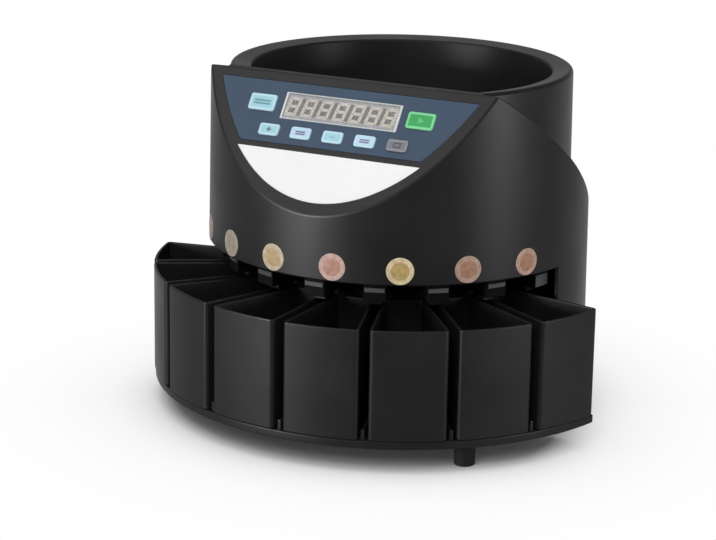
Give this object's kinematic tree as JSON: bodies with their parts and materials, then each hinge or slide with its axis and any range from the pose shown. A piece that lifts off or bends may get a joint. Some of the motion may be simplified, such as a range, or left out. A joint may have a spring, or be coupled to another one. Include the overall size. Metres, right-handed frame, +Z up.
{
  "type": "coin counting machine",
  "caption": "Round black counter-top coin sorter with a flat-fronted hopper, a sloping control panel with display and keys, and a fan of wedge-shaped coin cups that slide out.",
  "frame": {"origin": "centre of the bounding box in plan, on the table plane under the feet", "axes": "+X to the right of a person facing the panel, -Y towards that person, +Z up along the hopper axis"},
  "size_m": [0.355, 0.33, 0.254],
  "materials": {
    "black_plastic": "satin",
    "cup_plastic": "satin",
    "rubber": "matte",
    "steel": "satin",
    "brass": "satin",
    "rocker_red": "gloss",
    "film_blue": "satin",
    "badge_white": "satin",
    "lens": "gloss",
    "display": "matte",
    "board_green": "satin",
    "marker_print": "satin",
    "plate_metal": "brushed",
    "chute_grey": "satin",
    "motor_metal": "satin",
    "coil": "satin",
    "gear_nylon": "satin",
    "key_blue": "satin",
    "key_pale": "satin",
    "key_green": "satin",
    "key_grey": "satin"
  },
  "bodies": {
    "machine": {"base_pan": "black_plastic", "rubber_feet": "rubber", "foot_screws": "steel", "cowl": "black_plastic", "cowl_screws": "steel", "hopper_bowl": "black_plastic", "rear_cover": "black_plastic", "rear_cover_screws": "steel", "power_inlet": "black_plastic", "inlet_pins": "brass", "switch_frame": "black_plastic", "keypad_film": "film_blue", "badge_plate": "badge_white", "display_window": "lens", "display_module": "display", "control_board": "board_green", "key_switches": "black_plastic", "board_screws": "steel", "coin_markers": "marker_print", "deck_plate": "plate_metal", "deck_posts": "steel", "frame_screws": "steel", "sorting_track": "plate_metal", "chute_ring": "chute_grey", "coin_sensors": "black_plastic", "upper_bush": "brass", "lower_bush": "brass", "motor_plate": "plate_metal", "plate_standoffs": "steel", "gearhead": "motor_metal", "drive_motor": "motor_metal", "motor_screws": "steel", "power_board": "board_green", "transformer_core": "motor_metal", "transformer_coil": "coil"},
    "turntable": {"turntable_disc": "plate_metal", "disc_hub": "steel", "disc_cone": "black_plastic", "cone_screw": "steel", "drive_shaft": "steel", "turntable_gear": "gear_nylon", "thrust_collar": "steel"},
    "pinion": {"drive_pinion": "gear_nylon", "motor_shaft": "steel"},
    "rocker": {"switch_rocker": "rocker_red"},
    "cup_1": {"coin_cup_1": "cup_plastic"},
    "cup_2": {"coin_cup_2": "cup_plastic"},
    "cup_3": {"coin_cup_3": "cup_plastic"},
    "cup_4": {"coin_cup_4": "cup_plastic"},
    "cup_5": {"coin_cup_5": "cup_plastic"},
    "cup_6": {"coin_cup_6": "cup_plastic"},
    "cup_7": {"coin_cup_7": "cup_plastic"},
    "cup_8": {"coin_cup_8": "cup_plastic"},
    "mode_key_body": {"mode_key": "key_blue"},
    "start_key_body": {"start_key": "key_green"},
    "small_key_1_body": {"small_key_1": "key_blue"},
    "small_key_2_body": {"small_key_2": "key_pale"},
    "small_key_3_body": {"small_key_3": "key_blue"},
    "small_key_4_body": {"small_key_4": "key_pale"},
    "small_key_5_body": {"small_key_5": "key_grey"}
  },
  "joints": [
    {"name": "turntable_spin", "type": "hinge", "parent": "machine", "child": "turntable", "pos_m": [0, 0.017, 0.13], "axis": [0, 0, 1], "continuous": true},
    {"name": "pinion_spin", "type": "hinge", "parent": "machine", "child": "pinion", "pos_m": [0, 0.077, 0.1], "axis": [0, 0, 1], "continuous": true},
    {"name": "rocker_tilt", "type": "hinge", "parent": "machine", "child": "rocker", "pos_m": [0.025, 0.1555, 0.057], "axis": [1, 0, 0], "range_deg": [0, 16]},
    {"name": "cup_1_slide", "type": "slide", "parent": "machine", "child": "cup_1", "axis": [-0.9311, -0.3649, 0], "range_m": [0, 0.09]},
    {"name": "cup_2_slide", "type": "slide", "parent": "machine", "child": "cup_2", "axis": [-0.7547, -0.6561, 0], "range_m": [0, 0.09]},
    {"name": "cup_3_slide", "type": "slide", "parent": "machine", "child": "cup_3", "axis": [-0.4909, -0.8712, 0], "range_m": [0, 0.09]},
    {"name": "cup_4_slide", "type": "slide", "parent": "machine", "child": "cup_4", "axis": [-0.1702, -0.9854, 0], "range_m": [0, 0.09]},
    {"name": "cup_5_slide", "type": "slide", "parent": "machine", "child": "cup_5", "axis": [0.1702, -0.9854, 0], "range_m": [0, 0.09]},
    {"name": "cup_6_slide", "type": "slide", "parent": "machine", "child": "cup_6", "axis": [0.4909, -0.8712, 0], "range_m": [0, 0.09]},
    {"name": "cup_7_slide", "type": "slide", "parent": "machine", "child": "cup_7", "axis": [0.7547, -0.6561, 0], "range_m": [0, 0.09]},
    {"name": "cup_8_slide", "type": "slide", "parent": "machine", "child": "cup_8", "axis": [0.9311, -0.3649, 0], "range_m": [0, 0.09]},
    {"name": "mode_key_press", "type": "slide", "parent": "machine", "child": "mode_key_body", "axis": [0, 0.8161, -0.5779], "range_m": [0, 0.001], "stiffness_N_per_m": 200, "springref_m": -0.003},
    {"name": "start_key_press", "type": "slide", "parent": "machine", "child": "start_key_body", "axis": [0, 0.8161, -0.5779], "range_m": [0, 0.001], "stiffness_N_per_m": 200, "springref_m": -0.003},
    {"name": "small_key_1_press", "type": "slide", "parent": "machine", "child": "small_key_1_body", "axis": [0, 0.8161, -0.5779], "range_m": [0, 0.001], "stiffness_N_per_m": 200, "springref_m": -0.003},
    {"name": "small_key_2_press", "type": "slide", "parent": "machine", "child": "small_key_2_body", "axis": [0, 0.8161, -0.5779], "range_m": [0, 0.001], "stiffness_N_per_m": 200, "springref_m": -0.003},
    {"name": "small_key_3_press", "type": "slide", "parent": "machine", "child": "small_key_3_body", "axis": [0, 0.8161, -0.5779], "range_m": [0, 0.001], "stiffness_N_per_m": 200, "springref_m": -0.003},
    {"name": "small_key_4_press", "type": "slide", "parent": "machine", "child": "small_key_4_body", "axis": [0, 0.8161, -0.5779], "range_m": [0, 0.001], "stiffness_N_per_m": 200, "springref_m": -0.003},
    {"name": "small_key_5_press", "type": "slide", "parent": "machine", "child": "small_key_5_body", "axis": [0, 0.8161, -0.5779], "range_m": [0, 0.001], "stiffness_N_per_m": 200, "springref_m": -0.003}
  ],
  "couplings": [
    {"joint": "pinion_spin", "follows": "turntable_spin", "ratio": -3}
  ]
}
